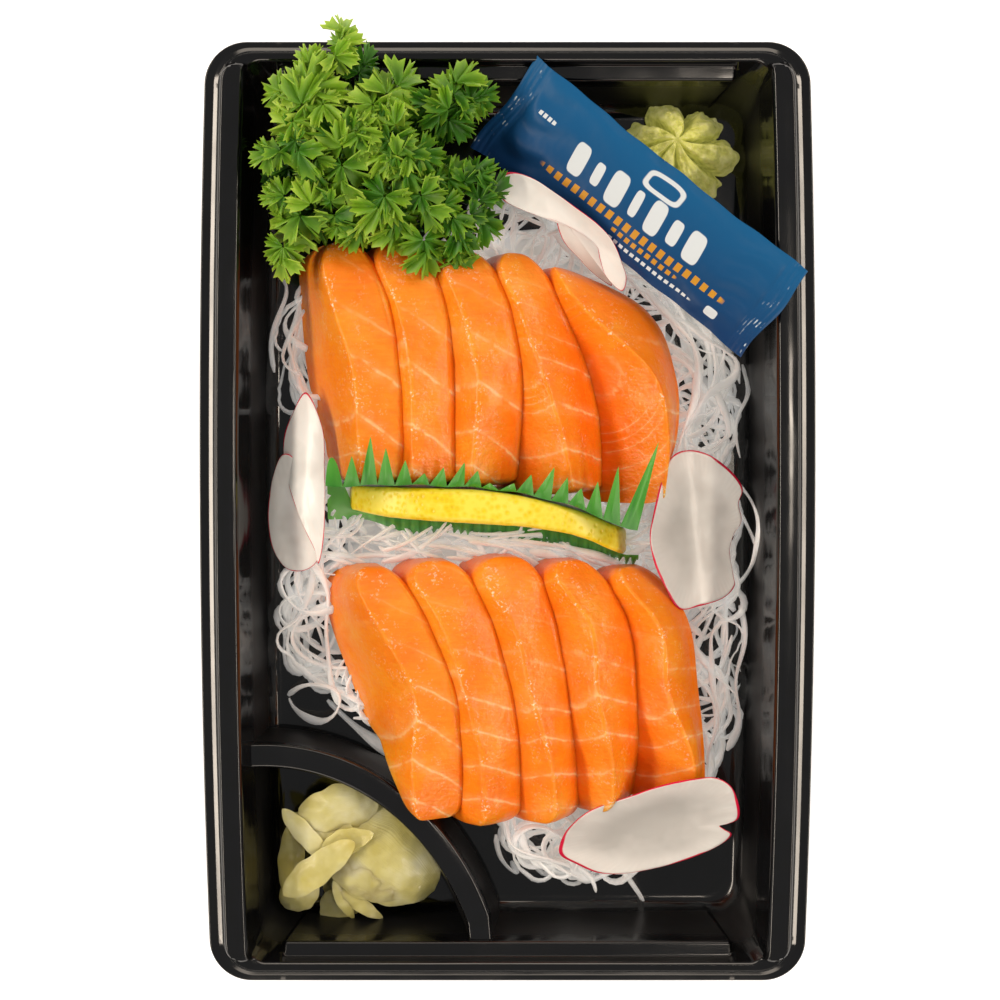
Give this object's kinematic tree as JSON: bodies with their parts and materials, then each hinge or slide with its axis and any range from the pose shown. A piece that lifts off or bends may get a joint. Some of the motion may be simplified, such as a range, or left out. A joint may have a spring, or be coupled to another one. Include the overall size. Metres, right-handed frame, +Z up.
{
  "type": "salmon sashimi tray",
  "caption": "Black plastic takeaway tray with two fanned rows of salmon sashimi on shredded daikon, with lemon, plastic grass, radish, parsley, wasabi, ginger and a sachet of soy sauce.",
  "frame": {"origin": "middle of the tray's flat underside", "axes": "+Y along the tray's length towards the end with the parsley, +Z up, +X towards the long side by the soy sauce sachet's end"},
  "size_m": [0.1558, 0.2411, 0.0445],
  "materials": {
    "black_plastic": "glossy thermoformed sheet",
    "daikon": "damp translucent shreds",
    "salmon": "wet raw fish with pale fat lines",
    "lemon_peel": "waxy rind with fine pores",
    "green_plastic": "thin glossy film",
    "blue_film": "printed film, slightly creased",
    "wasabi": "grainy paste",
    "ginger": "wet translucent slices",
    "parsley": "fresh curly leaf",
    "radish": "damp white flesh with a crimson rim"
  },
  "bodies": {
    "root": {"tray": "black_plastic", "daikon_noodles": "daikon", "salmon_upper_1": "salmon", "salmon_upper_2": "salmon", "salmon_upper_3": "salmon", "salmon_upper_4": "salmon", "salmon_upper_5": "salmon", "salmon_lower_1": "salmon", "salmon_lower_2": "salmon", "salmon_lower_3": "salmon", "salmon_lower_4": "salmon", "salmon_lower_5": "salmon", "lemon": "lemon_peel", "grass_back": "green_plastic", "grass_front": "green_plastic", "soy_packet": "blue_film", "wasabi": "wasabi", "ginger": "ginger", "parsley": "parsley", "radish_top": "radish", "radish_under": "radish", "radish_left_1": "radish", "radish_left_2": "radish", "radish_right": "radish", "radish_bottom": "radish"}
  },
  "joints": []
}
